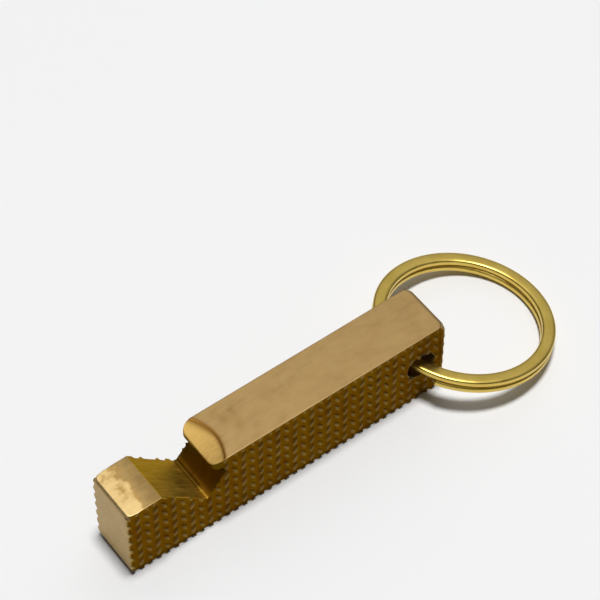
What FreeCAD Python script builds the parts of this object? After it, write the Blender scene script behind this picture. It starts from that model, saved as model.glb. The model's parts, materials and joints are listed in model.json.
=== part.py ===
"""Keychain bottle opener: a solid brass bar with a cap notch at one end and a split ring at the other.

Millimetres, +Z up. The origin is the centre of the bar's flat underside. +X runs along the bar, from
the notch towards the ring. The two pieces are the bar (opener_body) and the ring (split_ring), which is
one flattened wire wound twice. The ring hangs in a hole across the bar and swings about that hole.
"""
import FreeCAD, Part
import math
import os
import Sketcher
from FreeCAD import Placement, Rotation, Vector

doc = FreeCAD.newDocument("bottle_opener")
sheet = doc.addObject("Spreadsheet::Sheet", "dims")

# ---------------------------------------------------------------- driving sizes
DRIVING = [
    # the bar
    ("bar_length", 64.0, "front end to back end"),
    ("bar_width", 10.0, "side to side, over the grip"),
    ("bar_height", 17.0, "underside to top face"),
    ("corner_round", 0.3, "upright corners at both ends"),
    ("foot_round", 1.5, "underside to end face"),
    ("brow_round", 0.6, "top face to end face"),
    # the cap notch, measured from the front end and down from the top face
    ("front_land", 6.7, "front end to the start of the ramp"),
    ("notch_depth", 8.75, "top face down to the valley"),
    ("ramp_angle", 45.0, "ramp from level"),
    ("wall_angle", 49.5, "rear wall from level"),
    ("gullet_depth", 3.6, "top face down to the corner under the lip"),
    ("lip_reach", 3.05, "lip's nose ahead of that corner"),
    ("nose_depth", 2.0, "top face down to the lip's lower edge"),
    ("nose_corner", 1.4, "lip's rounded corners, seen from above"),
    ("notch_fillet", 0.4, "valley and gullet"),
    ("scoop_length", 3.7, "nose back to the end of the scoop"),
    ("scoop_tilt", 17.0, "scoop's floor from level"),
    ("scoop_radius", 28.0, "scoop's hollow across the bar"),
    # the ring hole
    ("hole_inset", 4.6, "hole's centre from the back end"),
    ("hole_height", 8.75, "hole's centre above the underside"),
    # the split ring
    ("ring_diameter", 32.0, "outside the coils"),
    ("wire_width", 2.4, "wire across the ring's plane"),
    ("wire_height", 1.3, "wire along the ring's axis"),
    ("wire_round", 0.3, "wire's rounded edges"),
    ("coil_gap", 0.1, "between the two turns"),
    # where the turns begin and end, measured from the bar's sides: the upper turn runs through the hole
    ("near_gap", 1.92, "lower turn's free end, out from the near side"),
    ("far_gap", 3.98, "upper turn's free end and the foot of the step, out from the far side"),
    ("step_inset", 0.72, "top of the step, in from the far side"),
    # how the ring lies in its hole
    ("pivot_drop", 0.75, "swing axis below the hole's centre"),
    ("ring_shift", 0.7, "ring's centre off the bar's middle, towards the far side"),
    ("ring_roll", 2.2, "ring's near side tipped up"),
    ("ring_clearance", 0.12, "wire to the hole's wall, all round the swing"),
]

# ---------------------------------------------------------------- sizes worked out from them
DERIVED = [
    ("valley_x", "=front_land + notch_depth / tan(ramp_angle * 1 deg)"),
    ("valley_z", "=bar_height - notch_depth"),
    ("gullet_x", "=valley_x + (notch_depth - gullet_depth) / tan(wall_angle * 1 deg)"),
    ("gullet_z", "=bar_height - gullet_depth"),
    ("nose_x", "=gullet_x - lip_reach"),
    ("nose_z", "=bar_height - nose_depth"),
    ("scoop_end_x", "=nose_x + scoop_length"),
    ("scoop_run", "=scoop_length + (nose_x - valley_x) * 2"),
    ("outer_radius", "=ring_diameter / 2"),
    ("inner_radius", "=outer_radius - wire_width"),
    ("coil_radius", "=(outer_radius + inner_radius) / 2"),
    ("coil_pitch", "=wire_height + coil_gap"),
    ("coil_height", "=wire_height * 2 + coil_gap"),
    # the same three places as angles about the ring's axis, from the middle of the hole, in degrees
    ("near_end", "=asin((bar_width / 2 + ring_shift + near_gap) / coil_radius) / 1 deg"),
    ("far_end", "=asin((bar_width / 2 - ring_shift + far_gap) / coil_radius) / 1 deg"),
    ("step_top", "=asin((bar_width / 2 - ring_shift - step_inset) / coil_radius) / 1 deg"),
    # inside the hole the wire bows with the ring's curve, and rises with its roll
    ("mouth", "=bar_width / 2 + ring_shift"),
    ("chord_radius", "=sqrt(inner_radius ^ 2 - mouth ^ 2)"),
    ("bow_half", "=(outer_radius - chord_radius) / 2"),
    ("rise_half", "=wire_height / 2 + mouth * sin(ring_roll * 1 deg)"),
    ("wire_reach", "=sqrt((bow_half - wire_round) ^ 2 + (rise_half - wire_round) ^ 2) + wire_round"),
    ("hole_diameter", "=2 * (pivot_drop + wire_reach + ring_clearance)"),
    # the swing axis, and the ring's centre measured from it
    ("pivot_x", "=bar_length / 2 - hole_inset"),
    ("pivot_z", "=hole_height - pivot_drop"),
    ("swing_radius", "=(outer_radius + chord_radius) / 2"),
    # the slope at which the ring comes down to the level of the underside: first as if it had no
    # roll, then with the swing axis lowered by as much as the roll dips the ring's rim
    ("slope_run", "=swing_radius + outer_radius - wire_round"),
    ("slope_rise", "=(coil_pitch + coil_height) / 2 - wire_round"),
    ("slope_span", "=sqrt(slope_run ^ 2 + slope_rise ^ 2)"),
    ("level_slope", "=asin((pivot_z - wire_round) / slope_span) - atan(slope_rise / slope_run)"),
    ("tilt", "=acos(cos(level_slope) * cos(ring_roll * 1 deg))"),
    ("roll_dip", "=(outer_radius - wire_round) * (sin(tilt) - sin(level_slope))"),
    ("rest_slope", "=asin((pivot_z - wire_round - roll_dip) / slope_span)"
                   " - atan(slope_rise / slope_run)"),
    ("ring_x", "=pivot_x + swing_radius * cos(rest_slope) - coil_pitch / 2 * sin(rest_slope)"),
    ("ring_z", "=pivot_z - swing_radius * sin(rest_slope) - coil_pitch / 2 * cos(rest_slope)"),
]

STEP_SECTIONS = 7       # wire sections along the step from the lower turn to the upper one


def fill_sheet():
    """Write every size into the sheet, one row each, with its alias in the second column."""
    rows = [(name, str(value), note) for name, value, note in DRIVING]
    rows += [(name, formula, "") for name, formula in DERIVED]
    for row, (name, content, note) in enumerate(rows, start=1):
        sheet.set(f"A{row}", name)
        sheet.set(f"B{row}", content)
        sheet.set(f"C{row}", note)
        sheet.setAlias(f"B{row}", name)
    doc.recompute()


def number(expression):
    """The present value of an expression over the sheet's names, as a float."""
    value = sheet.evalExpression(expression)
    return float(getattr(value, "Value", value))


# ---------------------------------------------------------------- sketch helpers
def new_body(name):
    body = doc.addObject("PartDesign::Body", name)
    body.Label = name
    return body


def new_sketch(body, name, plane):
    """A sketch on one of the body's own origin planes."""
    sketch = body.newObject("Sketcher::SketchObject", name)
    support = [item for item in body.Origin.OriginFeatures if item.Role == plane]
    sketch.AttachmentSupport = [(support[0], "")]
    sketch.MapMode = "FlatFace"
    return sketch


def bind(sketch, kind, elements, expression):
    """Add one dimension whose value is an expression over the sheet."""
    index = sketch.addConstraint(Sketcher.Constraint(kind, *elements, number(expression)))
    name = f"d{index}"
    sketch.renameConstraint(index, name)
    sketch.setExpression(f"Constraints.{name}", expression)


def place_point(sketch, geometry, position, x, y):
    """Hold one point at (x, y), each an expression over the sheet; "0" puts it on the axis."""
    for value, axis, kind in ((x, -2, "DistanceX"), (y, -1, "DistanceY")):
        if value == "0":
            sketch.addConstraint(Sketcher.Constraint("PointOnObject", geometry, position, axis))
        else:
            bind(sketch, kind, (-1, 1, geometry, position), value)


def corner_arc(corner, before, after, radius):
    """The arc that rounds a corner between two others: its ends, its centre and its direction."""
    back = (before - corner).normalize()
    ahead = (after - corner).normalize()
    half = back.getAngle(ahead) / 2
    reach = radius / math.tan(half)
    centre = corner + (back + ahead).normalize() * (radius / math.sin(half))
    return corner + back * reach, corner + ahead * reach, centre


def draw_outline(sketch, corners):
    """A closed outline, anticlockwise, from corners (x, y, round); a round of "" stays sharp."""
    points = [Vector(number(x), number(y), 0) for x, y, _ in corners]
    count = len(corners)
    starts, ends, arcs = [], [], {}
    for i, (_, _, rounding) in enumerate(corners):
        if rounding:
            begin, finish, centre = corner_arc(points[i], points[i - 1], points[(i + 1) % count],
                                               number(rounding))
            arcs[i] = (begin, finish, centre)
        else:
            begin = finish = points[i]
        ends.append(begin)
        starts.append(finish)
    lines = [sketch.addGeometry(Part.LineSegment(starts[i], ends[(i + 1) % count])) for i in range(count)]
    for i, (x, y, rounding) in enumerate(corners):
        before, after = lines[i - 1], lines[i]
        if rounding:
            round_corner(sketch, before, after, arcs[i], (x, y, rounding), points[i])
        else:
            sketch.addConstraint(Sketcher.Constraint("Coincident", before, 2, after, 1))
            place_point(sketch, after, 1, x, y)


def round_corner(sketch, before, after, arc, corner, point):
    """Join two lines with a tangent arc, and hold the sharp corner that they would have met in."""
    begin, finish, centre = arc
    x, y, rounding = corner
    first = math.atan2(begin.y - centre.y, begin.x - centre.x)
    last = math.atan2(finish.y - centre.y, finish.x - centre.x)
    turn = (last - first) % (2 * math.pi)
    leftward = turn < math.pi
    circle = Part.Circle(centre, Vector(0, 0, 1), (begin - centre).Length)
    span = (first, last) if leftward else (last, first)
    curve = sketch.addGeometry(Part.ArcOfCircle(circle, *span))
    mark = sketch.addGeometry(Part.Point(point), True)
    sketch.addConstraint([
        Sketcher.Constraint("Tangent", before, 2, curve, 1 if leftward else 2),
        Sketcher.Constraint("Tangent", after, 1, curve, 2 if leftward else 1),
        Sketcher.Constraint("PointOnObject", mark, 1, before),
        Sketcher.Constraint("PointOnObject", mark, 1, after),
    ])
    place_point(sketch, mark, 1, x, y)
    bind(sketch, "Radius", (curve,), rounding)


def frame_outline(sketch, reach_x, reach_y, margin):
    """A plain rectangle about the origin that surrounds an outline, so that what is outside is cut."""
    draw_outline(sketch, [
        (f"-({reach_x}) - {margin}", f"-({reach_y}) - {margin}", ""),
        (f"{reach_x} + {margin}", f"-({reach_y}) - {margin}", ""),
        (f"{reach_x} + {margin}", f"{reach_y} + {margin}", ""),
        (f"-({reach_x}) - {margin}", f"{reach_y} + {margin}", ""),
    ])


def feature(body, kind, name, profile, **properties):
    item = body.newObject(f"PartDesign::{kind}", name)
    item.Profile = profile
    for key, value in properties.items():
        setattr(item, key, value)
    profile.Visibility = False
    return item


def edges_across(shape, x, z):
    """Names of the edges that run straight across the bar at the given x and z."""
    names = []
    for index, edge in enumerate(shape.Edges, start=1):
        ends = [vertex.Point for vertex in edge.Vertexes]
        if len(ends) == 2 and all(math.hypot(p.x - x, p.z - z) < 0.01 for p in ends):
            names.append(f"Edge{index}")
    return names


# ---------------------------------------------------------------- the bar
def draw_side_profile(sketch):
    """The bar from its near side: rounded ends, and the notch with its ramp, valley, wall and lip."""
    top = "dims.bar_height"
    draw_outline(sketch, [
        ("0", "0", "dims.foot_round"),
        ("dims.bar_length", "0", "dims.foot_round"),
        ("dims.bar_length", top, "dims.brow_round"),
        ("dims.nose_x", top, ""),
        ("dims.nose_x", "dims.nose_z", ""),
        ("dims.gullet_x", "dims.gullet_z", ""),
        ("dims.valley_x", "dims.valley_z", ""),
        ("dims.front_land", top, ""),
        ("0", top, "dims.brow_round"),
    ])


def trim_corners(body):
    """Round the four upright corners: cut away what lies outside the bar's plan."""
    plan = new_sketch(body, "plan", "XY_Plane")
    half, margin = "dims.bar_width / 2", "dims.bar_width"
    draw_outline(plan, [
        ("0", f"-{half}", "dims.corner_round"),
        ("dims.bar_length", f"-{half}", "dims.corner_round"),
        ("dims.bar_length", half, "dims.corner_round"),
        ("0", half, "dims.corner_round"),
    ])
    frame_outline(plan, "dims.bar_length", half, margin)
    return feature(body, "Pocket", "trimmed_corners", plan, Type=1, Midplane=True)


def cut_ring_hole(body):
    hole = new_sketch(body, "hole_circle", "XZ_Plane")
    centre = Vector(number("dims.bar_length - dims.hole_inset"), number("dims.hole_height"), 0)
    circle = hole.addGeometry(Part.Circle(centre, Vector(0, 0, 1), number("dims.hole_diameter / 2")))
    place_point(hole, circle, 3, "dims.bar_length - dims.hole_inset", "dims.hole_height")
    bind(hole, "Radius", (circle,), "dims.hole_diameter / 2")
    feature(body, "Pocket", "ring_hole", hole, Type=1, Midplane=True)


def cut_scoop(body):
    """The thumb scoop on the lip: a wide tilted cylinder that dips from the top face to the nose."""
    scoop = body.newObject("PartDesign::SubtractiveCylinder", "scoop")
    support = [item for item in body.Origin.OriginFeatures if item.Role == "XY_Plane"]
    scoop.AttachmentSupport = [(support[0], "")]
    scoop.MapMode = "FlatFace"
    scoop.AttachmentOffset = Placement(Vector(), Rotation(Vector(0, 1, 0), 250))
    scoop.setExpression("Radius", "dims.scoop_radius")
    scoop.setExpression("Height", "dims.scoop_run / cos(dims.scoop_tilt * 1 deg)")
    scoop.setExpression("AttachmentOffset.Rotation.Angle", "270 deg - dims.scoop_tilt * 1 deg")
    scoop.setExpression("AttachmentOffset.Base.x",
                        "dims.scoop_end_x - dims.scoop_radius * sin(dims.scoop_tilt * 1 deg)")
    scoop.setExpression("AttachmentOffset.Base.z",
                        "dims.bar_height + dims.scoop_radius * cos(dims.scoop_tilt * 1 deg)")


def trim_nose(body):
    """Round the lip's two corners as seen from above, down to the level of the gullet."""
    plan = new_sketch(body, "nose_plan", "XY_Plane")
    plan.setExpression("AttachmentOffset.Base.z", "dims.bar_height")
    half, back = "dims.bar_width / 2", "dims.nose_x + dims.nose_corner * 1.5"
    front = "dims.valley_x"
    outside = "dims.bar_width"
    draw_outline(plan, [
        (front, f"-{outside}", ""),
        (back, f"-{outside}", ""),
        (back, f"-{half}", ""),
        ("dims.nose_x", f"-{half}", "dims.nose_corner"),
        ("dims.nose_x", half, "dims.nose_corner"),
        (back, half, ""),
        (back, outside, ""),
        (front, outside, ""),
    ])
    trimmed = feature(body, "Pocket", "trimmed_nose", plan)
    trimmed.setExpression("Length", "dims.gullet_depth")


def build_opener_body():
    body = new_body("opener_body")
    side = new_sketch(body, "side_profile", "XZ_Plane")
    draw_side_profile(side)
    stock = feature(body, "Pad", "stock", side, Midplane=True)
    stock.setExpression("Length", "dims.bar_width")
    trimmed = trim_corners(body)
    doc.recompute()
    creases = edges_across(trimmed.Shape, number("dims.valley_x"), number("dims.valley_z"))
    creases += edges_across(trimmed.Shape, number("dims.gullet_x"), number("dims.gullet_z"))
    softened = body.newObject("PartDesign::Fillet", "softened_creases")
    softened.Base = (trimmed, creases)
    softened.setExpression("Radius", "dims.notch_fillet")
    cut_ring_hole(body)
    cut_scoop(body)
    trim_nose(body)
    body.setExpression("Placement.Base.x", "-dims.bar_length / 2")
    return body


# ---------------------------------------------------------------- the split ring
def wire_section(body, name, angle, height):
    """The flattened wire's section, turned about the ring's axis; height is its lower face."""
    sketch = new_sketch(body, name, "XZ_Plane")
    sketch.AttachmentOffset = Placement(Vector(), Rotation(Vector(0, 1, 0), 30))
    sketch.setExpression("AttachmentOffset.Rotation.Angle", f"({angle}) * 1 deg")
    upper = f"{height} + dims.wire_height"
    draw_outline(sketch, [
        ("dims.inner_radius", height, "dims.wire_round"),
        ("dims.outer_radius", height, "dims.wire_round"),
        ("dims.outer_radius", upper, "dims.wire_round"),
        ("dims.inner_radius", upper, "dims.wire_round"),
    ])
    return sketch


def build_split_ring():
    """Two flat turns about the ring's axis, joined by one step just beyond the hole's far mouth."""
    body = new_body("split_ring")
    lower, upper = "-dims.coil_height / 2", "dims.coil_gap / 2"
    turns = (
        ("lower_turn", lower, "180 + dims.near_end", "360 - dims.near_end - dims.far_end"),
        ("upper_turn", upper, "180 - dims.step_top", "360 - dims.far_end + dims.step_top"),
    )
    for name, height, start, span in turns:
        section = wire_section(body, f"{name}_section", start, height)
        turn = feature(body, "Revolution", name, section, ReferenceAxis=(section, ["V_Axis"]))
        turn.setExpression("Angle", span)
    # the step climbs from the far end of the lower turn to the start of the upper one
    steps = []
    for i in range(STEP_SECTIONS):
        share = i / (STEP_SECTIONS - 1)
        rise = share * share * (3 - 2 * share)
        angle = f"180 - dims.far_end + (dims.far_end - dims.step_top) * {share}"
        steps.append(wire_section(body, f"step_{i}", angle, f"{lower} + dims.coil_pitch * {rise}"))
    step = feature(body, "AdditiveLoft", "step", steps[0], Sections=steps[1:])
    step.Ruled = False
    lay_ring = ("create(<<placement>>; create(<<vector>>; dims.ring_x; dims.ring_shift; dims.ring_z);"
                " create(<<rotation>>; 0; dims.rest_slope; -dims.ring_roll))")
    body.setExpression("Placement", lay_ring)
    return body


# ---------------------------------------------------------------- build, check and write
def check_document(parts):
    for item in doc.Objects:
        for state in item.State:
            if state in ("Invalid", "Error"):
                raise RuntimeError(f"{item.Name} is {state}: {item.getStatusString()}")
    for part in parts:
        shape = part.Shape
        if shape.isNull() or not shape.isValid():
            raise RuntimeError(f"{part.Label} has no valid shape")
        if len(shape.Solids) != 1:
            raise RuntimeError(f"{part.Label} has {len(shape.Solids)} solids instead of one")


def write_parts(parts):
    os.makedirs("parts", exist_ok=True)
    for part in parts:
        part.Shape.exportStep(f"parts/{part.Label}.step")
        box = part.Shape.optimalBoundingBox(True, False)
        print(f"{part.Label}: volume {part.Shape.Volume:.1f} mm3, "
              f"x {box.XMin:.2f}..{box.XMax:.2f}, y {box.YMin:.2f}..{box.YMax:.2f}, "
              f"z {box.ZMin:.2f}..{box.ZMax:.2f}")


fill_sheet()
pieces = [build_opener_body(), build_split_ring()]
doc.recompute()
check_document(pieces)
write_parts(pieces)
for size in ("hole_diameter", "pivot_x", "pivot_z", "rest_slope", "ring_x", "ring_z", "inner_radius"):
    print(f"{size} = {number('dims.' + size):.3f}")
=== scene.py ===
# %% [markdown]
# # A solid brass bottle opener on a split ring
#
# The real object has two pieces. One is a solid brass bar, knurled on its two long sides, with a
# notch near the front end that hooks under a bottle cap. The other is a split ring: one flattened
# brass wire wound twice, so that keys can be threaded on between its turns. The ring hangs in a
# hole drilled across the bar.
#
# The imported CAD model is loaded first. It gives the bar's box and the hinge's place, and the pieces
# made here stand for its two solids. Lengths typed below are millimetres, except in the finishes
# and from the floor on, where they are Blender's own metres.

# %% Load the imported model
import json
import math

import bpy
import numpy as np
from mathutils import Matrix, Vector
from mathutils.geometry import delaunay_2d_cdt


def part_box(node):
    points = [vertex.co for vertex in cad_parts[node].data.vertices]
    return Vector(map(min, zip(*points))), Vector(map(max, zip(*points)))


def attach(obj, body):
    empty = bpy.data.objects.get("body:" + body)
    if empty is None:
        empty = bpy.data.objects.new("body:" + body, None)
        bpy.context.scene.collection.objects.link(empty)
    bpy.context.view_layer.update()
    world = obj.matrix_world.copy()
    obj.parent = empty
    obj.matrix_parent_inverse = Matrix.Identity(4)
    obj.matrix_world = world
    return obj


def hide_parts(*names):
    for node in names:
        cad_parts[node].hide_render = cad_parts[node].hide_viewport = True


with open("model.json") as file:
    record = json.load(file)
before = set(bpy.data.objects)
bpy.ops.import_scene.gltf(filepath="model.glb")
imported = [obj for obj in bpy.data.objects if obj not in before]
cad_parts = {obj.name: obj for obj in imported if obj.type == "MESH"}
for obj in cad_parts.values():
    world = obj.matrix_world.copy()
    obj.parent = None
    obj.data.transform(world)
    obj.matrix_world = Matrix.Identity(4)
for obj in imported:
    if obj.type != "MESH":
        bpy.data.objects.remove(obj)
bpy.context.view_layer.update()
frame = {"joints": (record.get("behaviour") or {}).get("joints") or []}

MM = 0.001
bar_low, bar_high = [np.array(corner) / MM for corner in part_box("opener_body")]
ring_low, ring_high = [np.array(corner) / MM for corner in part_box("split_ring")]
swing = frame["joints"][0]
swing_axis_at = np.array(swing["pos_m"]) / MM
print("bar", bar_low.round(2), bar_high.round(2))
print("ring", ring_low.round(2), ring_high.round(2), "swings about", swing_axis_at)

# %% [markdown]
# ## Two ways to say a shape
#
# Every piece here is a surface worked out with numpy, as a grid of points that two numbers run
# over. One helper turns such a grid into faces, and another puts points and faces into a Blender
# mesh. The pieces are in metres with their object at the origin, because the model's other views
# and its export move whole objects, and a piece with its place in its own mesh can't slip.

# %% Helpers that turn grids into meshes
def grid_faces(rows, columns, wrap_rows=False, wrap_columns=False):
    """Quads of a grid: each joins a point, the next in its row, and the same two in the next row."""
    index = np.arange(rows * columns).reshape(rows, columns)
    if wrap_rows:
        index = np.vstack([index, index[:1]])
    if wrap_columns:
        index = np.hstack([index, index[:, :1]])
    corners = [index[:-1, :-1], index[:-1, 1:], index[1:, 1:], index[1:, :-1]]
    return np.stack(corners, -1).reshape(-1, 4)


def make_piece(name, points, faces, finish_of_face, finishes, marks=None):
    """A smooth-shaded mesh from points in millimetres, faces of any size, and a finish for each."""
    mesh = bpy.data.meshes.new(name)
    mesh.from_pydata((points * MM).tolist(), [], [list(face) for face in faces])
    for finish in finishes:
        mesh.materials.append(finish)
    mesh.polygons.foreach_set("material_index", np.asarray(finish_of_face, np.int32))
    mesh.shade_smooth()
    for key, values in (marks or {}).items():
        mark = mesh.attributes.new(key, "FLOAT", "POINT")
        mark.data.foreach_set("value", np.asarray(values, np.float32))
    mesh.update()
    piece = bpy.data.objects.new(name, mesh)
    bpy.context.scene.collection.objects.link(piece)
    return piece


def smooth_step(t):
    """Rises from 0 to 1 as t does, level at both ends: three t squared less two t cubed."""
    t = np.clip(t, 0.0, 1.0)
    return t * t * (3 - 2 * t)


# %% [markdown]
# ## The knurl
#
# Both long sides of the bar are rolled with a knurl that looks like knitting: upright ribs about
# 1.7 mm apart, each cut by slanting grooves, which lean one way on one rib and the other way on
# the next. What stands up between the grooves is a small pad with upright sides and slanting
# ends. A bump map could fake it, but the grooves are deep enough to notch every edge they meet,
# so they are real relief here: a depth below the side's face, as a function of the place on it.

# %% The depth of the knurl at any place on a side
RIB_PITCH = 1.72            # from one rib to the next, along the bar
PAD_PITCH = 2.43            # from one pad to the next, up the rib
RIB_START = -31.68          # middle of a rib that leans one way
PAD_START = 1.92            # middle of a pad above the underside
PAD_HALF_WIDTH = 0.43
PAD_HALF_LENGTH = 0.50
PAD_SLANT = 1.05            # rise of a pad's ends for each millimetre along the bar
SIDE_FOOT, SIDE_WALL = 0.16, 0.30       # the wall beside a pad: how far its foot lies out, its width
END_FOOT, END_WALL = 0.24, 0.44         # the wall at a pad's end
KNURL_DEPTH = 0.42
TOP_MARGIN, TOP_FADE = 0.10, 0.35       # the grooves run out below the top face
BACK_MARGIN, BACK_FADE = 0.05, 0.6      # and before the back end


def knurl_depth(x, z):
    """How far the surface lies below the pads' tops, at x along the bar and z above its underside.

    A pad stands where the place is near the middle of a rib and also near the middle of a slanting
    stripe. Each nearness is a smooth step across the groove's wall, and their product is the pad.
    The stripes wander a little and the grooves' depth varies a little, as on a worn tool.
    """
    rib = np.round((x - RIB_START) / RIB_PITCH)
    across = x - RIB_START - rib * RIB_PITCH
    lean = np.where(rib % 2 == 0, -1.0, 1.0)
    wander = 0.05 * np.sin(0.9 * x + 1.7 * z) + 0.04 * np.sin(2.3 * z - 0.6 * x)
    along = z - PAD_START - lean * PAD_SLANT * across + wander
    along -= np.round(along / PAD_PITCH) * PAD_PITCH
    on_rib = smooth_step((PAD_HALF_WIDTH + SIDE_FOOT - np.abs(across)) / SIDE_WALL)
    on_stripe = smooth_step((PAD_HALF_LENGTH + END_FOOT - np.abs(along)) / END_WALL)
    worn = 0.04 * np.sin(1.3 * x + 0.4) * np.sin(0.8 * z + 0.02 * x)
    below_top = smooth_step((bar_high[2] - TOP_MARGIN - z) / TOP_FADE)
    before_back = smooth_step((bar_high[0] - BACK_MARGIN - x) / BACK_FADE)
    return (KNURL_DEPTH + worn) * (1.0 - on_rib * on_stripe) * (below_top * before_back)


sample_x, sample_z = np.meshgrid(np.linspace(-20, 20, 400), np.linspace(1, 7, 60))
print("knurl: mean depth", knurl_depth(sample_x, sample_z).mean().round(3), "mm")

# %% [markdown]
# ## The bar's side outline
#
# Seen from the side, the bar is a long rectangle with rounded ends. Near the front a ramp runs
# down to a valley, and a steeper wall climbs back to a lip that hangs over the valley: that lip
# catches the cap. A scoop for the thumb is milled on top of the lip.
#
# Sawing this out of a block with boolean cuts would work, but the result has long thin faces that
# shade badly. The outline is used as a profile instead: a chain of straight runs and rounded
# corners, sampled at fixed stations. The corners' places depend on how far across the bar the
# slice is, which is how one chain gives the round nose, the round ends and the hollow scoop.

# %% The corners of the outline in each slice across the bar
bar_front, bar_back = bar_low[0], bar_high[0]
bar_half, bar_top = bar_high[1], bar_high[2]

VALLEY = (bar_front + 15.45, bar_top - 8.75)
GULLET = (bar_front + 19.849, bar_top - 3.6)
NOSE = (bar_front + 16.799, bar_top - 2.0)
LAND_END = bar_front + 6.7
SCOOP_END = bar_front + 20.499
SCOOP_RADIUS = 28.0
SCOOP_TILT = math.radians(17.0)
NOSE_CORNER = 1.7                       # the lip's corners seen from above
EDGE = 0.10                             # the small round where the top meets a side
FOOT_ROUND = 1.5                        # both ends of the underside
BACK_ROUND, FRONT_ROUND = 0.8, 0.6      # the top's two ends
SCOOP_ROUND, LAND_ROUND = 1.3, 0.18     # where the scoop and the land leave the top face
LIP_TOP_ROUND, LIP_FOOT_ROUND = 0.22, 0.15
NOTCH_ROUND = 0.4                       # inside the notch


def corner_setback(y, radius):
    """How far a rounded corner, seen from above, lies behind the straight end, at y across the bar."""
    into = np.clip(np.abs(y) - (bar_half - radius), 0.0, radius)
    return radius - np.sqrt(radius ** 2 - into ** 2)


def scoop_edge(y):
    """Where the scoop ends on the top face, in the slice at y.

    A slice along the tilted scoop is a straight line, lifted by the scoop's hollow across the bar.
    """
    lift = SCOOP_RADIUS - np.sqrt(SCOOP_RADIUS ** 2 - y ** 2)
    return SCOOP_END - lift / math.sin(SCOOP_TILT)


def outline_corners(y):
    """The outline's sharp corners in the slice at y, and the rounding of each: arrays (y, corner)."""
    nose = corner_setback(y, NOSE_CORNER)
    flat = np.zeros_like(y)
    scoop_x = scoop_edge(y)
    nose_x = NOSE[0] + nose
    nose_top = bar_top - (scoop_x - nose_x) * math.tan(SCOOP_TILT)
    nose_foot = NOSE[1] - nose * (NOSE[1] - GULLET[1]) / (GULLET[0] - NOSE[0])
    corners = [
        (flat + bar_front, flat, FOOT_ROUND),
        (flat + bar_back, flat, FOOT_ROUND),
        (flat + bar_back, flat + bar_top, BACK_ROUND),
        (scoop_x, flat + bar_top, SCOOP_ROUND),
        (nose_x, nose_top, LIP_TOP_ROUND),
        (nose_x, nose_foot, LIP_FOOT_ROUND),
        (flat + GULLET[0], flat + GULLET[1], NOTCH_ROUND),
        (flat + VALLEY[0], flat + VALLEY[1], NOTCH_ROUND),
        (flat + LAND_END, flat + bar_top, LAND_ROUND),
        (flat + bar_front, flat + bar_top, FRONT_ROUND),
    ]
    place = np.stack([np.stack([x, z], -1) for x, z, _ in corners], 1)
    return place, np.array([rounding for _, _, rounding in corners])


# %% The outline sampled at stations
RUN_POINTS = (300, 66, 196, 22, 9, 16, 32, 58, 32, 66)     # on the straight run after each corner
ARC_POINTS = (14, 14, 8, 10, 6, 5, 7, 7, 5, 8)             # on each rounded corner
RUN_FINISH = ("dull", "dull", "satin", "scoop", "cut", "cut", "cut", "cut", "satin", "dull")
ARC_FINISH = ("satin", "satin", "satin", "satin", "scoop", "cut", "cut", "cut", "cut", "satin")


def outline_grid(y):
    """Stations round the outline for each slice: runs are straight, corners are arcs.

    An arc touches both runs: it starts and ends at the corner plus the rounding over the tangent
    of half the corner's angle, and its points turn evenly about the arc's centre.
    """
    place, rounding = outline_corners(y)
    before = np.roll(place, 1, axis=1) - place
    after = np.roll(place, -1, axis=1) - place
    before /= np.linalg.norm(before, axis=2, keepdims=True)
    after /= np.linalg.norm(after, axis=2, keepdims=True)
    half = np.arccos(np.clip((before * after).sum(2), -1, 1)) / 2
    reach = (rounding / np.tan(half))[..., None]
    inwards = (before + after) / np.linalg.norm(before + after, axis=2, keepdims=True)
    centre = place + inwards * (rounding / np.sin(half))[..., None]
    arc_start, arc_end = place + before * reach, place + after * reach
    stations, labels = [], []
    for corner in range(len(rounding)):
        following = (corner + 1) % len(rounding)
        spoke = arc_start[:, corner] - centre[:, corner]
        last = arc_end[:, corner] - centre[:, corner]
        turn = np.arctan2(spoke[:, 0] * last[:, 1] - spoke[:, 1] * last[:, 0], (spoke * last).sum(1))
        share = np.arange(ARC_POINTS[corner]) / ARC_POINTS[corner]
        angle = turn[:, None] * share
        swung = np.stack([spoke[:, :1] * np.cos(angle) - spoke[:, 1:] * np.sin(angle),
                          spoke[:, :1] * np.sin(angle) + spoke[:, 1:] * np.cos(angle)], -1)
        stations.append(centre[:, corner, None] + swung)
        labels += [ARC_FINISH[corner]] * ARC_POINTS[corner]
        share = (np.arange(RUN_POINTS[corner]) / RUN_POINTS[corner])[None, :, None]
        run = arc_end[:, corner, None] * (1 - share) + arc_start[:, following, None] * share
        stations.append(run)
        labels += [RUN_FINISH[corner]] * RUN_POINTS[corner]
    return np.concatenate(stations, 1), labels


middle, _ = outline_grid(np.zeros(1))
spacing = np.linalg.norm(np.roll(middle[0], -1, axis=0) - middle[0], axis=1)
print("outline:", middle.shape[1], "stations,", spacing.min().round(3), "to", spacing.max().round(3),
      "mm apart")

# %% [markdown]
# ## The band: everything but the two sides
#
# Sweeping the outline across the bar gives one band that holds the underside, both ends, the top,
# the scoop and the notch. Its outermost slices turn the corner onto the sides. There the band
# gives way to the knurl: wherever a groove reaches the edge, the band's edge is pulled in by the
# groove's depth, so that the grooves notch the edges, as they do when a knurled bar is milled.

# %% The slices, and how their edges are pulled in
MIDDLE_SLICES = (0.0, 0.8, 1.6, 2.4, 3.1)       # how far across the bar the inner slices lie
PULL_START = 3.9                # grooves pull the band in only outside this far across the bar
SQUEEZE_REACH = 3               # how much of each end is moved to round its corners
LOW_CORNER = 0.15               # the corners' rounding where the knurl begins
BACK_CORNER, FRONT_CORNER = 1.15, 0.65          # and what is added to it at the top face
CORNER_FADE = 1.5               # the height over which it is added

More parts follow.
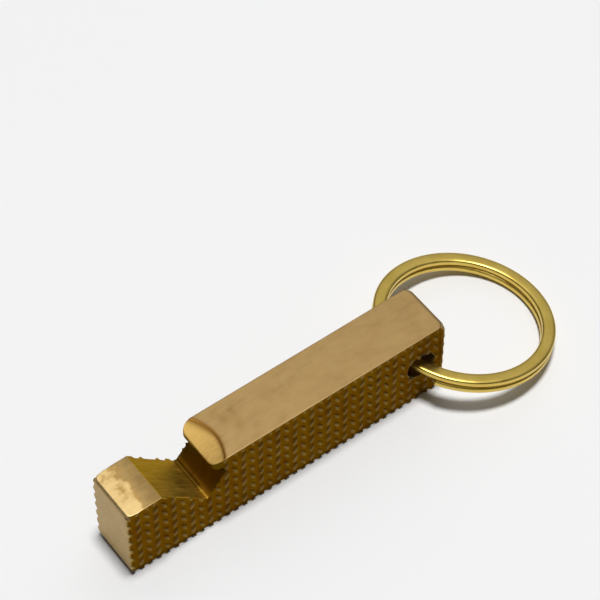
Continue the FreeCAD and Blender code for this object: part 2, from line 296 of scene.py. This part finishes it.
nose_turn = np.radians([0, 15, 28, 40, 51, 61])
edge_turn = np.radians([0, 18, 36, 54, 72, 90])
inner_slices = np.concatenate([MIDDLE_SLICES, bar_half - NOSE_CORNER * (1 - np.sin(nose_turn))])
half_slices = np.concatenate([inner_slices, bar_half - EDGE + EDGE * np.sin(edge_turn)])
half_inset = np.concatenate([np.zeros(len(inner_slices)), EDGE * (1 - np.cos(edge_turn))])
slice_y = np.concatenate([-half_slices[:0:-1], half_slices])
slice_inset = np.concatenate([half_inset[:0:-1], half_inset])
across_bar = slice_y[:, None]


def pull_in(y, depth):
    """Moves a place at y across the bar inwards by a groove's depth, less and less further in."""
    share = smooth_step((np.abs(y) - PULL_START) / (bar_half - PULL_START))
    return y - np.sign(y) * depth * share


def squeeze_corners(x, y, z):
    """Rounds the bar's four corners, seen from above, by moving its ends inwards near the sides.

    The rounding is large at the top face and nearly sharp lower down, where the knurl begins.
    """
    added = np.where(x > 0, BACK_CORNER, FRONT_CORNER)
    radius = LOW_CORNER + added * smooth_step((z - bar_top + CORNER_FADE) / CORNER_FADE)
    setback = corner_setback(y, radius)
    near_front = np.clip(1 - (x - bar_front) / SQUEEZE_REACH, 0, 1)
    near_back = np.clip(1 - (bar_back - x) / SQUEEZE_REACH, 0, 1)
    return x + setback * (near_front - near_back)


# %% The band as a grid of slices and stations
LAND_CROWN, CROWN_REACH, CROWN_FADE = 0.16, 5.0, 2.0    # the land droops a little towards the front

outline, station_finish = outline_grid(slice_y)
outline[..., 0] = squeeze_corners(outline[..., 0], across_bar, outline[..., 1])
forward = np.roll(outline, -1, axis=1) - np.roll(outline, 1, axis=1)
forward /= np.linalg.norm(forward, axis=2, keepdims=True)
inward = np.stack([-forward[..., 1], forward[..., 0]], -1)
outline = outline + inward * slice_inset[:, None, None]
band_x, band_z = outline[..., 0], outline[..., 1]
towards_front = smooth_step((bar_front + CROWN_REACH - band_x) / CROWN_REACH)
near_top = smooth_step((band_z - bar_top + CROWN_FADE) / CROWN_FADE)
band_z = band_z - LAND_CROWN * towards_front * near_top
band_depth = knurl_depth(band_x[-1], band_z[-1])
band_y = pull_in(across_bar, band_depth[None, :])
band_points = np.stack([band_x, band_y, band_z], -1)
band_faces = grid_faces(len(slice_y), band_x.shape[1], wrap_columns=True)[:, ::-1]
print("band:", band_points.shape[:2], "points,", len(band_faces), "faces")

# %% [markdown]
# ## Marks for the finishes
#
# Use has left its marks on the brass. A brown line of tarnish runs round the scoop, and the top has
# a few faint smudges. The lip's face is darker, a dark line runs along the valley's bottom, and the
# wall below the lip is darkened towards the valley as painted shade, where the lip hangs over it.
# The land is brightened towards the front and darkened towards its rear as a painted reflection,
# with an uneven brown line between. These follow the shape, so they are worked out here as two
# amounts from 0 to 1 at every point of the band, and the finishes read them later.

# %% The scoop's tarnish, the painted shade under the lip, and the land's painted reflection
LIP_DEPTH = 1.9                 # the lip's height, from the top face down
STAIN_BEHIND = 0.32             # how far the scoop's stain spreads behind its edge
STAIN_NEAR, STAIN_FAR = 0.45, 0.5       # and inside it: near side, and what the far side adds
SHEEN_REACH = 7.5                 # the land's painted reflection fades over this length
# faint smudges on the top: (behind the scoop's end, across the bar, size, strength)
SMUDGES = np.array([(4.7, 2.1, 0.6, 0.40), (2.9, 1.6, 0.9, 0.28), (4.0, -1.0, 0.9, 0.26),
                    (1.9, 3.4, 1.0, 0.20)])

on_lip = (band_z > bar_top - LIP_DEPTH) & (band_x > NOSE[0])
behind_scoop = band_x - scoop_edge(slice_y)[:, None]
inner_reach = STAIN_NEAR + STAIN_FAR * smooth_step((across_bar + 1.0) / 4.0)
stain_reach = np.where(behind_scoop > 0, STAIN_BEHIND, inner_reach)
scoop_stain = np.exp(-(behind_scoop / stain_reach) ** 2) * on_lip
lip_face = (np.array(station_finish) == "cut") * on_lip

on_wall = (band_z < bar_top - 1.2) & (band_x < GULLET[0] + 0.5) & (band_z > VALLEY[1] - 1)
# painted shade: the wall under the lip darkens towards the valley, where the lip hangs over it
under_lip_shade = smooth_step((band_x - VALLEY[0] + 0.3) / 1.4) * on_wall
in_valley = (band_z < VALLEY[1] + 0.6) & (band_z > 1.0)
valley_line = np.exp(-((band_x - VALLEY[0]) / 0.5) ** 2) * in_valley
valley_line = valley_line * smooth_step((across_bar + 3.0) / 1.5)

behind, aside, size, strength = SMUDGES.T
apart = (band_x[..., None] - SCOOP_END - behind) ** 2 + (across_bar[..., None] - aside) ** 2
smudged = (strength * np.exp(-(apart / size ** 2))).sum(-1) * (band_z > bar_top - 0.1)
# the stains, the smudges and the painted shade under the lip, as one mark
stain_and_shade_band = np.clip(scoop_stain + lip_face + under_lip_shade + valley_line + smudged, 0, 1)

# the land's painted reflection: full at the front end, fading out towards the rear
on_land = (band_x < LAND_END + 0.1) & (band_z > bar_top - 0.5)
land_sheen_band = np.clip((bar_front + SHEEN_REACH - band_x) / SHEEN_REACH, 0, 1) * on_land
print("stained:", (stain_and_shade_band > 0.5).mean().round(3), "of the band's points")

# %% [markdown]
# ## The hole, and the two knurled sides
#
# The hole is a tube of rings of points, its rims rounded and pulled in by the grooves in the same
# way. Each side is then a height field: a lattice of points that follows the ribs and pads, so
# that every pad is sampled alike, filled in between the outline and the hole with a Delaunay
# triangulation, which is the plainest way to join a lattice to two curved borders.

# %% The hole's tube
HOLE_AT = (bar_back - 4.6, bar_top - 8.25)
HOLE_RADIUS = 2.7985
HOLE_POINTS = 96
INNER_RINGS = (0.0, 1.4, 2.6, 3.5, 4.1, 4.6)        # how far across the bar the tube's rings lie

around = np.arange(HOLE_POINTS) / HOLE_POINTS * 2 * math.pi
tube_half = np.concatenate([INNER_RINGS, bar_half - EDGE + EDGE * np.sin(edge_turn)])
tube_flare = np.concatenate([np.zeros(len(INNER_RINGS)), EDGE * (1 - np.cos(edge_turn))])
tube_y = np.concatenate([-tube_half[:0:-1], tube_half])
tube_radius = HOLE_RADIUS + np.concatenate([tube_flare[:0:-1], tube_flare])
tube_x = HOLE_AT[0] + tube_radius[:, None] * np.cos(around)
tube_z = HOLE_AT[1] + tube_radius[:, None] * np.sin(around)
tube_y = pull_in(tube_y[:, None], knurl_depth(tube_x[-1], tube_z[-1])[None, :])
tube_points = np.stack([tube_x, tube_y, tube_z], -1)
tube_faces = grid_faces(len(tube_points), HOLE_POINTS, wrap_columns=True)
print("hole: radius", HOLE_RADIUS, "at", np.round(HOLE_AT, 2))


# %% Helpers for one side, seen flat
CHUNK = 4000            # points handled at once, to spare memory


def inside_outline(points, border):
    """Whether each point lies inside a closed border: a ray to the right crosses it oddly often."""
    x, z = points[:, 0], points[:, 1]
    ax, az = border[:, 0], border[:, 1]
    bx, bz = np.roll(ax, -1), np.roll(az, -1)
    inside = np.zeros(len(points), bool)
    for start in range(0, len(points), CHUNK):
        px, pz = x[start:start + CHUNK, None], z[start:start + CHUNK, None]
        straddles = (az > pz) != (bz > pz)
        crossing = ax + (pz - az) / np.where(bz == az, 1e-12, bz - az) * (bx - ax)
        inside[start:start + CHUNK] = (straddles & (px < crossing)).sum(1) % 2 == 1
    return inside


def nearest_distance(points, border):
    """Distance from each point to the nearest point of a border."""
    nearest = np.empty(len(points))
    for start in range(0, len(points), CHUNK):
        gap = points[start:start + CHUNK, None, :] - border[None]
        nearest[start:start + CHUNK] = np.sqrt((gap ** 2).sum(2).min(1))
    return nearest


def from_hole(points):
    """Distance from each point to the hole's middle."""
    return np.hypot(points[:, 0] - HOLE_AT[0], points[:, 1] - HOLE_AT[1])


def lattice_line(low, high, through, step):
    """Evenly spaced places from low to high, one of which would be the place to go through."""
    first, last = math.floor((low - through) / step), math.ceil((high - through) / step)
    return np.arange(first, last) * step + through


def closed_loop(first, count):
    """The edges of a loop of points, as pairs of their numbers."""
    return np.stack([np.arange(count), (np.arange(count) + 1) % count], 1) + first


# %% One side: a lattice that follows the pads, joined to the outline and the hole
BORDER_GAP = 0.11       # the lattice keeps this far from the outline and the hole

side_border = outline[-1]
rim_border = np.stack([tube_x[-1], tube_z[-1]], -1)
lattice_x = lattice_line(bar_front, bar_back, RIB_START, RIB_PITCH / 9)
lattice_z = lattice_line(0, bar_top, PAD_START, PAD_PITCH / 13)
lattice = np.stack(np.meshgrid(lattice_x, lattice_z), -1).reshape(-1, 2)
lattice = lattice[inside_outline(lattice, side_border)]
lattice = lattice[nearest_distance(lattice, side_border) > BORDER_GAP]
lattice = lattice[from_hole(lattice) > HOLE_RADIUS + EDGE + BORDER_GAP]
flat = np.vstack([side_border, rim_border, lattice])
loops = np.vstack([closed_loop(0, len(side_border)), closed_loop(len(side_border), HOLE_POINTS)])
filled = delaunay_2d_cdt([Vector(p) for p in flat.tolist()], loops.tolist(), [], 0, 1e-6, True)
came_from = np.array([ids[0] if len(ids) else -1 for ids in filled[3]])
triangles = came_from[np.array(filled[2])]
centres = flat[triangles].mean(1)
keep = inside_outline(centres, side_border) & (from_hole(centres) > HOLE_RADIUS * 1.001)
triangles = triangles[keep & (triangles.min(1) >= 0)]
print("one side:", len(lattice), "lattice points,", len(triangles), "triangles")

# %% The bar put together
def flat_count(grid):
    """How many points a grid has."""
    return grid.shape[0] * grid.shape[1]


band_count, tube_count = flat_count(band_points), flat_count(tube_points)
depth = knurl_depth(lattice[:, 0], lattice[:, 1])
near_face = np.stack([lattice[:, 0], depth - bar_half, lattice[:, 1]], -1)
far_face = np.stack([lattice[:, 0], bar_half - depth, lattice[:, 1]], -1)
points = np.vstack([band_points.reshape(-1, 3), tube_points.reshape(-1, 3), near_face, far_face])


def side_index(slice_row, tube_row, first_lattice):
    """Where each flat point of a side is in the whole mesh: the border and the rim are shared."""
    border = slice_row * len(side_border) + np.arange(len(side_border))
    rim = band_count + tube_row * HOLE_POINTS + np.arange(HOLE_POINTS)
    return np.concatenate([border, rim, first_lattice + np.arange(len(lattice))])


first_near, first_far = band_count + tube_count, band_count + tube_count + len(lattice)
near = side_index(0, 0, first_near)[triangles]
far = side_index(len(slice_y) - 1, len(tube_points) - 1, first_far)[triangles]
faces = (band_faces.tolist() + (tube_faces + band_count).tolist()
         + near.tolist() + far[:, ::-1].tolist())

FINISH_ORDER = ["satin", "knurl", "cut", "scoop", "bore", "dull"]
station_slot = np.array([FINISH_ORDER.index(label) for label in station_finish])
face_finish = np.concatenate([np.tile(station_slot, len(slice_y) - 1),
                              np.full(len(tube_faces), FINISH_ORDER.index("bore")),
                              np.full(len(near) + len(far), FINISH_ORDER.index("knurl"))])

on_edge = np.repeat(np.abs(slice_y) > bar_half - EDGE, len(side_border))
edge_depth = np.tile(band_depth, len(slice_y)) * on_edge
all_depth = np.concatenate([edge_depth, np.zeros(tube_count), depth, depth])
groove = np.clip(all_depth / KNURL_DEPTH, 0, 1)
no_mark = np.zeros(tube_count + 2 * len(lattice))
stain_and_shade = np.concatenate([stain_and_shade_band.ravel(), no_mark])
land = np.concatenate([land_sheen_band.ravel(), no_mark])
print("bar:", len(points), "points,", len(faces), "faces")

# %% [markdown]
# ## Brass, six ways
#
# The whole object is brass, but it isn't one material to the eye. The top has a satin grain along
# the bar, and is duller on the underside and the ends. The notch was milled and is darkened, the wall
# under its lip as painted shade. The scoop is freshly brushed and yellow. The knurl has tarnished in
# its grooves and is rubbed grey-gold on its pads, and both knurled sides are kept dark as painted
# shade. The ring is polished, and the bore is darkened as painted shade, for the shadow in the hole.
# Each finish is one metal shader, whose colour, roughness and bump come from stretched noise and from
# the marks left on the bar's points.

# %% A finish, and the few kinds of node it is built from
class Finish:
    """A material with one metal shader, and ways to feed the shader's inputs."""

    def __init__(self, name):
        self.material = bpy.data.materials.new(name)
        self.material.use_nodes = True
        self.tree = self.material.node_tree
        self.shader = self.tree.nodes["Principled BSDF"]
        self.set("Metallic", 1.0)

    def feed(self, socket, value):
        """Links an output to a socket, or gives the socket a value; a colour gets its alpha."""
        if isinstance(value, bpy.types.NodeSocket):
            self.tree.links.new(value, socket)
        elif isinstance(value, tuple) and len(socket.default_value) == 4:
            socket.default_value = (*value, 1)
        else:
            socket.default_value = value

    def set(self, key, value):
        """Feeds one input of the shader."""
        self.feed(self.shader.inputs[key], value)

    def node(self, kind, inputs=None, **settings):
        """A new node with its settings and its inputs."""
        made = self.tree.nodes.new(kind)
        for key, value in settings.items():
            setattr(made, key, value)
        for key, value in (inputs or {}).items():
            self.feed(made.inputs[key], value)
        return made

    def noise(self, scale, stretch=(1, 1, 1), detail=4.0, rough=0.55):
        """Noise over the piece's own place, stretched by a different amount along each direction."""
        place = self.node("ShaderNodeTexCoord").outputs["Object"]
        mapping = self.node("ShaderNodeMapping", {"Vector": place, "Scale": stretch})
        return self.node("ShaderNodeTexNoise", {"Vector": mapping.outputs[0], "Scale": scale,
                                                "Detail": detail, "Roughness": rough}).outputs["Fac"]

    def mark(self, name):
        """One of the marks left on the bar's points: groove, stains with painted shade, or land."""
        return self.node("ShaderNodeAttribute", attribute_name=name).outputs["Fac"]

    def ramp(self, amount, *stops):
        """A colour that follows an amount from 0 to 1; stops are (place, colour)."""
        ramp = self.node("ShaderNodeValToRGB", {"Fac": amount})
        elements = ramp.color_ramp.elements
        while len(elements) < len(stops):
            elements.new(0.5)
        for element, (at, colour) in zip(elements, stops):
            element.position = at
            element.color = (*colour, 1)
        return ramp.outputs["Color"]

    def rescale(self, value, low, high, to_low, to_high):
        """The value's range low..high carried to to_low..to_high, and held there beyond it."""
        return self.node("ShaderNodeMapRange", {"Value": value, "From Min": low, "From Max": high,
                                                "To Min": to_low, "To Max": to_high}).outputs["Result"]

    def mix(self, amount, one, other, blend="MIX"):
        """One colour with the other laid over it by an amount."""
        return self.node("ShaderNodeMix", {0: amount, 6: one, 7: other},
                         data_type="RGBA", blend_type=blend).outputs[2]

    def stained_and_shaded(self, colour, most, dark):
        """A colour darkened by the mark of stains and painted shade, by most of the dark colour where
        it is strongest.
        """
        return self.mix(self.rescale(self.mark("stain_and_shade"), 0.0, 1.0, 0.0, most), colour, dark)

    def finished(self, colour, roughness, height, strength, distance):
        """Gives the shader its colour, roughness and bump, and hands back the material."""
        self.set("Base Color", colour)
        self.set("Roughness", roughness)
        bump = self.node("ShaderNodeBump", {"Height": height, "Strength": strength,
                                            "Distance": distance})
        self.set("Normal", bump.outputs[0])
        return self.material


# %% Satin brass, for the top, the underside and the ends
def satin_brass(name, shade):
    """Tan brass with a fine grain along the bar and soft cloudy smudges; shade dulls it as a whole."""
    finish = Finish(name)
    grain = finish.noise(1.0, (260, 4200, 4200))
    cloud = finish.noise(1.0, (230, 300, 300), 6.0, 0.65)
    base = finish.ramp(cloud, (0.30, (0.35, 0.222, 0.086)), (0.5, (0.405, 0.265, 0.108)),
                       (0.72, (0.435, 0.295, 0.123)))
    colour = finish.mix(finish.rescale(grain, 0.35, 0.7, 0.0, 0.35), base, (0.30, 0.185, 0.06))
    # the land: a painted reflection, bright towards the front and darker at the rear, with an uneven
    # brown line between
    land_sheen_mark = finish.mark("land")
    wobble = finish.rescale(finish.noise(330.0, detail=3.0), 0.25, 0.75, -0.3, 0.3)
    reached = finish.node("ShaderNodeMath", {0: wobble, 1: land_sheen_mark}, operation="ADD").outputs[0]
    land_sheen_colour = finish.ramp(reached, (0.08, (0.25, 0.16, 0.055)), (0.48, (0.36, 0.24, 0.09)),
                         (0.56, (0.40, 0.24, 0.075)), (0.68, (0.66, 0.47, 0.20)),
                         (0.95, (0.76, 0.55, 0.25)))
    colour = finish.mix(finish.rescale(land_sheen_mark, 0.05, 0.10, 0.0, 0.9), colour, land_sheen_colour)
    colour = finish.stained_and_shaded(colour, 0.9, (0.16, 0.065, 0.004))
    colour = finish.mix(1.0, colour, shade, "MULTIPLY")
    return finish.finished(colour, finish.rescale(grain, 0.3, 0.7, 0.36, 0.5), grain, 0.12, 0.00004)


# %% Knurled brass with painted shade, for the two sides, and cut brass, for the notch
GOLD_TINT = (1.0, 0.78, 0.35)       # keeps glancing highlights on dark brass warm


def shaded_knurled_brass():
    """Dark golden tarnish in the grooves and rubbed grey-gold on the pads, by the groove mark, both
    darkened by painted shade.
    """
    finish = Finish("shaded_knurled_brass")
    finish.set("Specular Tint", GOLD_TINT)
    groove_mark = finish.mark("groove")
    cloud = finish.noise(220.0)
    fine = finish.noise(2600.0, detail=3.0)
    # both ramps are kept dark as painted shade, for sides the lamp above barely lights, over the
    # tarnish
    pads = finish.ramp(cloud, (0.35, (0.165, 0.105, 0.042)), (0.65, (0.225, 0.148, 0.06)))
    grooves = finish.ramp(cloud, (0.35, (0.18, 0.070, 0.003)), (0.65, (0.22, 0.105, 0.005)))
    colour = finish.mix(finish.rescale(groove_mark, 0.15, 0.7, 0.0, 1.0), pads, grooves)
    colour = finish.mix(finish.rescale(fine, 0.35, 0.7, 0.0, 0.3), colour, (0.10, 0.05, 0.005))
    roughness = finish.rescale(groove_mark, 0.1, 0.8, 0.42, 0.6)
    return finish.finished(colour, roughness, fine, 0.25, 0.00005)


def cut_brass():
    """Darker olive-gold brass with streaks left by the cutter, down the ramp."""
    finish = Finish("cut_brass")
    finish.set("Specular Tint", GOLD_TINT)
    streak = finish.noise(1.0, (300, 3200, 300))
    base = finish.ramp(finish.noise(520.0), (0.3, (0.34, 0.20, 0.02)), (0.7, (0.48, 0.29, 0.035)))
    colour = finish.mix(finish.rescale(streak, 0.35, 0.7, 0.0, 0.6), base, (0.66, 0.42, 0.07))
    # the mark darkens the lip's face and the valley line, and paints shade on the wall under the lip
    colour = finish.stained_and_shaded(colour, 0.88, (0.07, 0.035, 0.002))
    return finish.finished(colour, finish.rescale(streak, 0.3, 0.7, 0.5, 0.66), streak, 0.2, 0.00005)


# %% Brushed brass for the scoop, polished brass for the ring, and the bore darkened as painted shade
def brushed_brass():
    """Bright yellow brass, brushed across the lip."""
    finish = Finish("brushed_brass")
    streak = finish.noise(1.0, (700, 5200, 700))
    base = finish.ramp(streak, (0.3, (0.52, 0.34, 0.10)), (0.7, (0.74, 0.51, 0.17)))
    colour = finish.stained_and_shaded(base, 0.9, (0.18, 0.075, 0.005))
    return finish.finished(colour, finish.rescale(streak, 0.3, 0.7, 0.62, 0.75), streak, 0.18, 0.00003)


def polished_brass():
    """Yellow polished wire, a little cloudy with wear."""
    finish = Finish("polished_brass")
    cloud = finish.noise(300.0)
    colour = finish.ramp(cloud, (0.3, (0.66, 0.465, 0.095)), (0.7, (0.75, 0.555, 0.135)))
    return finish.finished(colour, finish.rescale(cloud, 0.3, 0.7, 0.30, 0.40), cloud, 0.05, 0.00005)


def shaded_bore_brass():
    """The drilled bore: darkened as painted shade for the hole's inside, and ringed by the drill."""
    finish = Finish("shaded_bore_brass")
    rings = finish.noise(1.0, (150, 3000, 150), 3.0)
    # these darker colours paint the shade inside the hole
    colour = finish.ramp(rings, (0.3, (0.30, 0.19, 0.06)), (0.7, (0.42, 0.29, 0.10)))
    return finish.finished(colour, 0.45, rings, 0.2, 0.00005)


# %% The finished bar
bar_finishes = [satin_brass("satin_brass", (1, 1, 1)), shaded_knurled_brass(), cut_brass(), brushed_brass(),
                shaded_bore_brass(), satin_brass("dull_brass", (1.04, 1.05, 0.78))]
bar = make_piece("knurled_bar", points, faces, face_finish, bar_finishes,
                 {"groove": groove, "stain_and_shade": stain_and_shade, "land": land})
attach(bar, "opener")
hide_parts("opener_body")
print("bar:", len(bar.data.polygons), "faces")

# %% [markdown]
# ## The split ring
#
# The ring is one flattened wire. It starts on the near side of the bar, runs most of the way round
# at the lower level, climbs to the upper level just beyond the far end of the hole, and runs round
# again. Its section is a soft rectangle, carried along that path. A curve with a bevel would twist
# where the wire climbs, so the section is laid square to the ring's axis in every slice instead.

# %% The wire's path and section
RING_RADIUS = 16.0
WIRE_HALF_WIDTH, WIRE_HALF_HEIGHT = 1.2, 0.65
COIL_PITCH = 1.4
REST_SLOPE, REST_ROLL = math.radians(11.449), math.radians(2.2)
NEAR_END, FAR_END, STEP_TOP = 30.99, 34.02, 14.0        # degrees either side of the hole
END_TAPER = 1.1             # degrees over which a free end rounds off
SECTION_POWER = 3.4         # 2 makes an oval, and more makes it squarer
WIRE_SLICES, SECTION_POINTS = 620, 48
ring_centre = np.array([swing_axis_at[0] + 13.753, 0.7, 4.500])


def wire_levels(degrees):
    """Height of the wire's middle along the ring's axis: low, then a smooth climb, then high."""
    climb = (degrees - (540.0 - FAR_END)) / (FAR_END - STEP_TOP)
    return COIL_PITCH * (smooth_step(climb) - 0.5)


def wire_section(count):
    """The wire's section: a superellipse, which has flat faces and well rounded edges."""
    turn = np.arange(count) / count * 2 * math.pi
    power = 2 / SECTION_POWER
    across = np.sign(np.cos(turn)) * np.abs(np.cos(turn)) ** power
    up = np.sign(np.sin(turn)) * np.abs(np.sin(turn)) ** power
    return across, up


wire_start, wire_end = 180.0 + NEAR_END, 900.0 - FAR_END
degrees = np.linspace(wire_start, wire_end, WIRE_SLICES)
from_end = np.clip(np.minimum(degrees - wire_start, wire_end - degrees) / END_TAPER, 0, 1)
end_size = np.sqrt(np.clip(1 - (1 - from_end) ** 2, 0, 1))
across, up = wire_section(SECTION_POINTS)
radius = RING_RADIUS - WIRE_HALF_WIDTH + end_size[:, None] * WIRE_HALF_WIDTH * across
level = wire_levels(degrees)[:, None] + end_size[:, None] * WIRE_HALF_HEIGHT * up
turned = np.radians(degrees)[:, None]
wire = np.stack([radius * np.cos(turned), radius * np.sin(turned), level], -1)
print("wire:", wire.shape[:2], "points over", round(wire_end - wire_start, 1), "degrees")

# %% The ring laid in its hole, and closed by a tip at each end
lay = (Matrix.Rotation(REST_SLOPE, 3, "Y") @ Matrix.Rotation(-REST_ROLL, 3, "X"))
laid = wire.reshape(-1, 3) @ np.array(lay).T + ring_centre
body_points = laid.reshape(wire.shape)[1:-1].reshape(-1, 3)
ring_points = np.vstack([body_points, laid[0], laid[-1]])
start_loop = np.arange(SECTION_POINTS)
end_loop = start_loop + (WIRE_SLICES - 3) * SECTION_POINTS
start_tip = np.full(SECTION_POINTS, len(body_points))
start_cap = np.stack([start_tip, np.roll(start_loop, -1), start_loop], 1)
end_cap = np.stack([start_tip + 1, end_loop, np.roll(end_loop, -1)], 1)
wire_faces = grid_faces(WIRE_SLICES - 2, SECTION_POINTS, wrap_columns=True)
ring_faces = wire_faces.tolist() + start_cap.tolist() + end_cap.tolist()
split_ring = make_piece("split_ring_wire", ring_points, ring_faces, np.zeros(len(ring_faces)),
                        [polished_brass()])
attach(split_ring, "ring")
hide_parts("split_ring")
print("ring box", ring_points.min(0).round(2), ring_points.max(0).round(2))
print("the packed ring's", ring_low.round(2), ring_high.round(2))

# %% [markdown]
# ## Floor, light and camera
#
# The object lies on a plain pale floor under one soft lamp almost straight above. The sky is dim
# but for one soft bright patch, high up beyond the bar as the camera sees it: metal shows what it
# faces, so that patch is what the top, the scoop and the ring shine with. The camera looks down at
# the bar from its front left. Places here are in metres.

# %% Floor
FLOOR_REACH = 3
floor_corners = [(-FLOOR_REACH, -FLOOR_REACH, 0), (FLOOR_REACH, -FLOOR_REACH, 0),
                 (FLOOR_REACH, FLOOR_REACH, 0), (-FLOOR_REACH, FLOOR_REACH, 0)]
floor_mesh = bpy.data.meshes.new("floor")
floor_mesh.from_pydata(floor_corners, [], [(0, 1, 2, 3)])
floor = bpy.data.objects.new("floor", floor_mesh)
bpy.context.scene.collection.objects.link(floor)
floor_paint = Finish("floor_paint")
floor_paint.set("Base Color", (0.86, 0.86, 0.86))
floor_paint.set("Roughness", 0.9)
floor_paint.set("Metallic", 0.0)
floor_paint.set("Specular IOR Level", 0.1)
floor_mesh.materials.append(floor_paint.material)

# %% Sky
PATCH_TOWARDS = (0.50, 0.45, 0.74)          # the middle of the sky's bright patch
# how bright the sky is, by how near a direction is to the patch's middle: (nearness, level)
SKY_STEPS = [(0.0, 0.05), (0.60, 0.05), (0.80, 0.17), (0.93, 0.58), (1.0, 0.70)]

world = bpy.data.worlds.new("studio")
bpy.context.scene.world = world
world.use_nodes = True
sky = world.node_tree.nodes["Background"]
direction = world.node_tree.nodes.new("ShaderNodeTexCoord")
brightness = world.node_tree.nodes.new("ShaderNodeValToRGB")
nearness = world.node_tree.nodes.new("ShaderNodeVectorMath")
nearness.operation = "DOT_PRODUCT"
nearness.inputs[1].default_value = PATCH_TOWARDS
world.node_tree.links.new(direction.outputs["Generated"], nearness.inputs[0])
world.node_tree.links.new(nearness.outputs["Value"], brightness.inputs["Fac"])
world.node_tree.links.new(brightness.outputs["Color"], sky.inputs["Color"])
steps = brightness.color_ramp.elements
while len(steps) < len(SKY_STEPS):
    steps.new(0.5)
for step, (near_to, level) in zip(steps, SKY_STEPS):
    step.position = near_to
    step.color = (level * 0.98, level * 0.99, level, 1)

# %% Lamp
LAMP_AT = (0.05, -0.02, 1.8)

lamp_data = bpy.data.lights.new("key", "AREA")
lamp_data.shape = "DISK"
lamp_data.size, lamp_data.energy = 0.36, 28.1
lamp = bpy.data.objects.new("key", lamp_data)
bpy.context.scene.collection.objects.link(lamp)
lamp.location = LAMP_AT
lamp.rotation_euler = (-Vector(LAMP_AT)).to_track_quat("-Z", "Y").to_euler()

# %% Camera
CAMERA_AT = (-0.1353, -0.1898, 0.3507)
AZIMUTH, ELEVATION = math.radians(36.57), math.radians(52.81)

right = Vector((math.cos(AZIMUTH), -math.sin(AZIMUTH), 0))
ahead = Vector((math.sin(AZIMUTH) * math.cos(ELEVATION), math.cos(AZIMUTH) * math.cos(ELEVATION),
                -math.sin(ELEVATION)))
facing = Matrix((right, right.cross(ahead), -ahead)).transposed().to_4x4()
camera_data = bpy.data.cameras.new("camera")
camera_data.lens = 150.24
camera_data.sensor_width = 36.0
camera_data.clip_start = 0.01
camera = bpy.data.objects.new("camera", camera_data)
bpy.context.scene.collection.objects.link(camera)
camera.matrix_world = Matrix.Translation(CAMERA_AT) @ facing
bpy.context.scene.camera = camera
bpy.context.scene.view_settings.view_transform = "Standard"
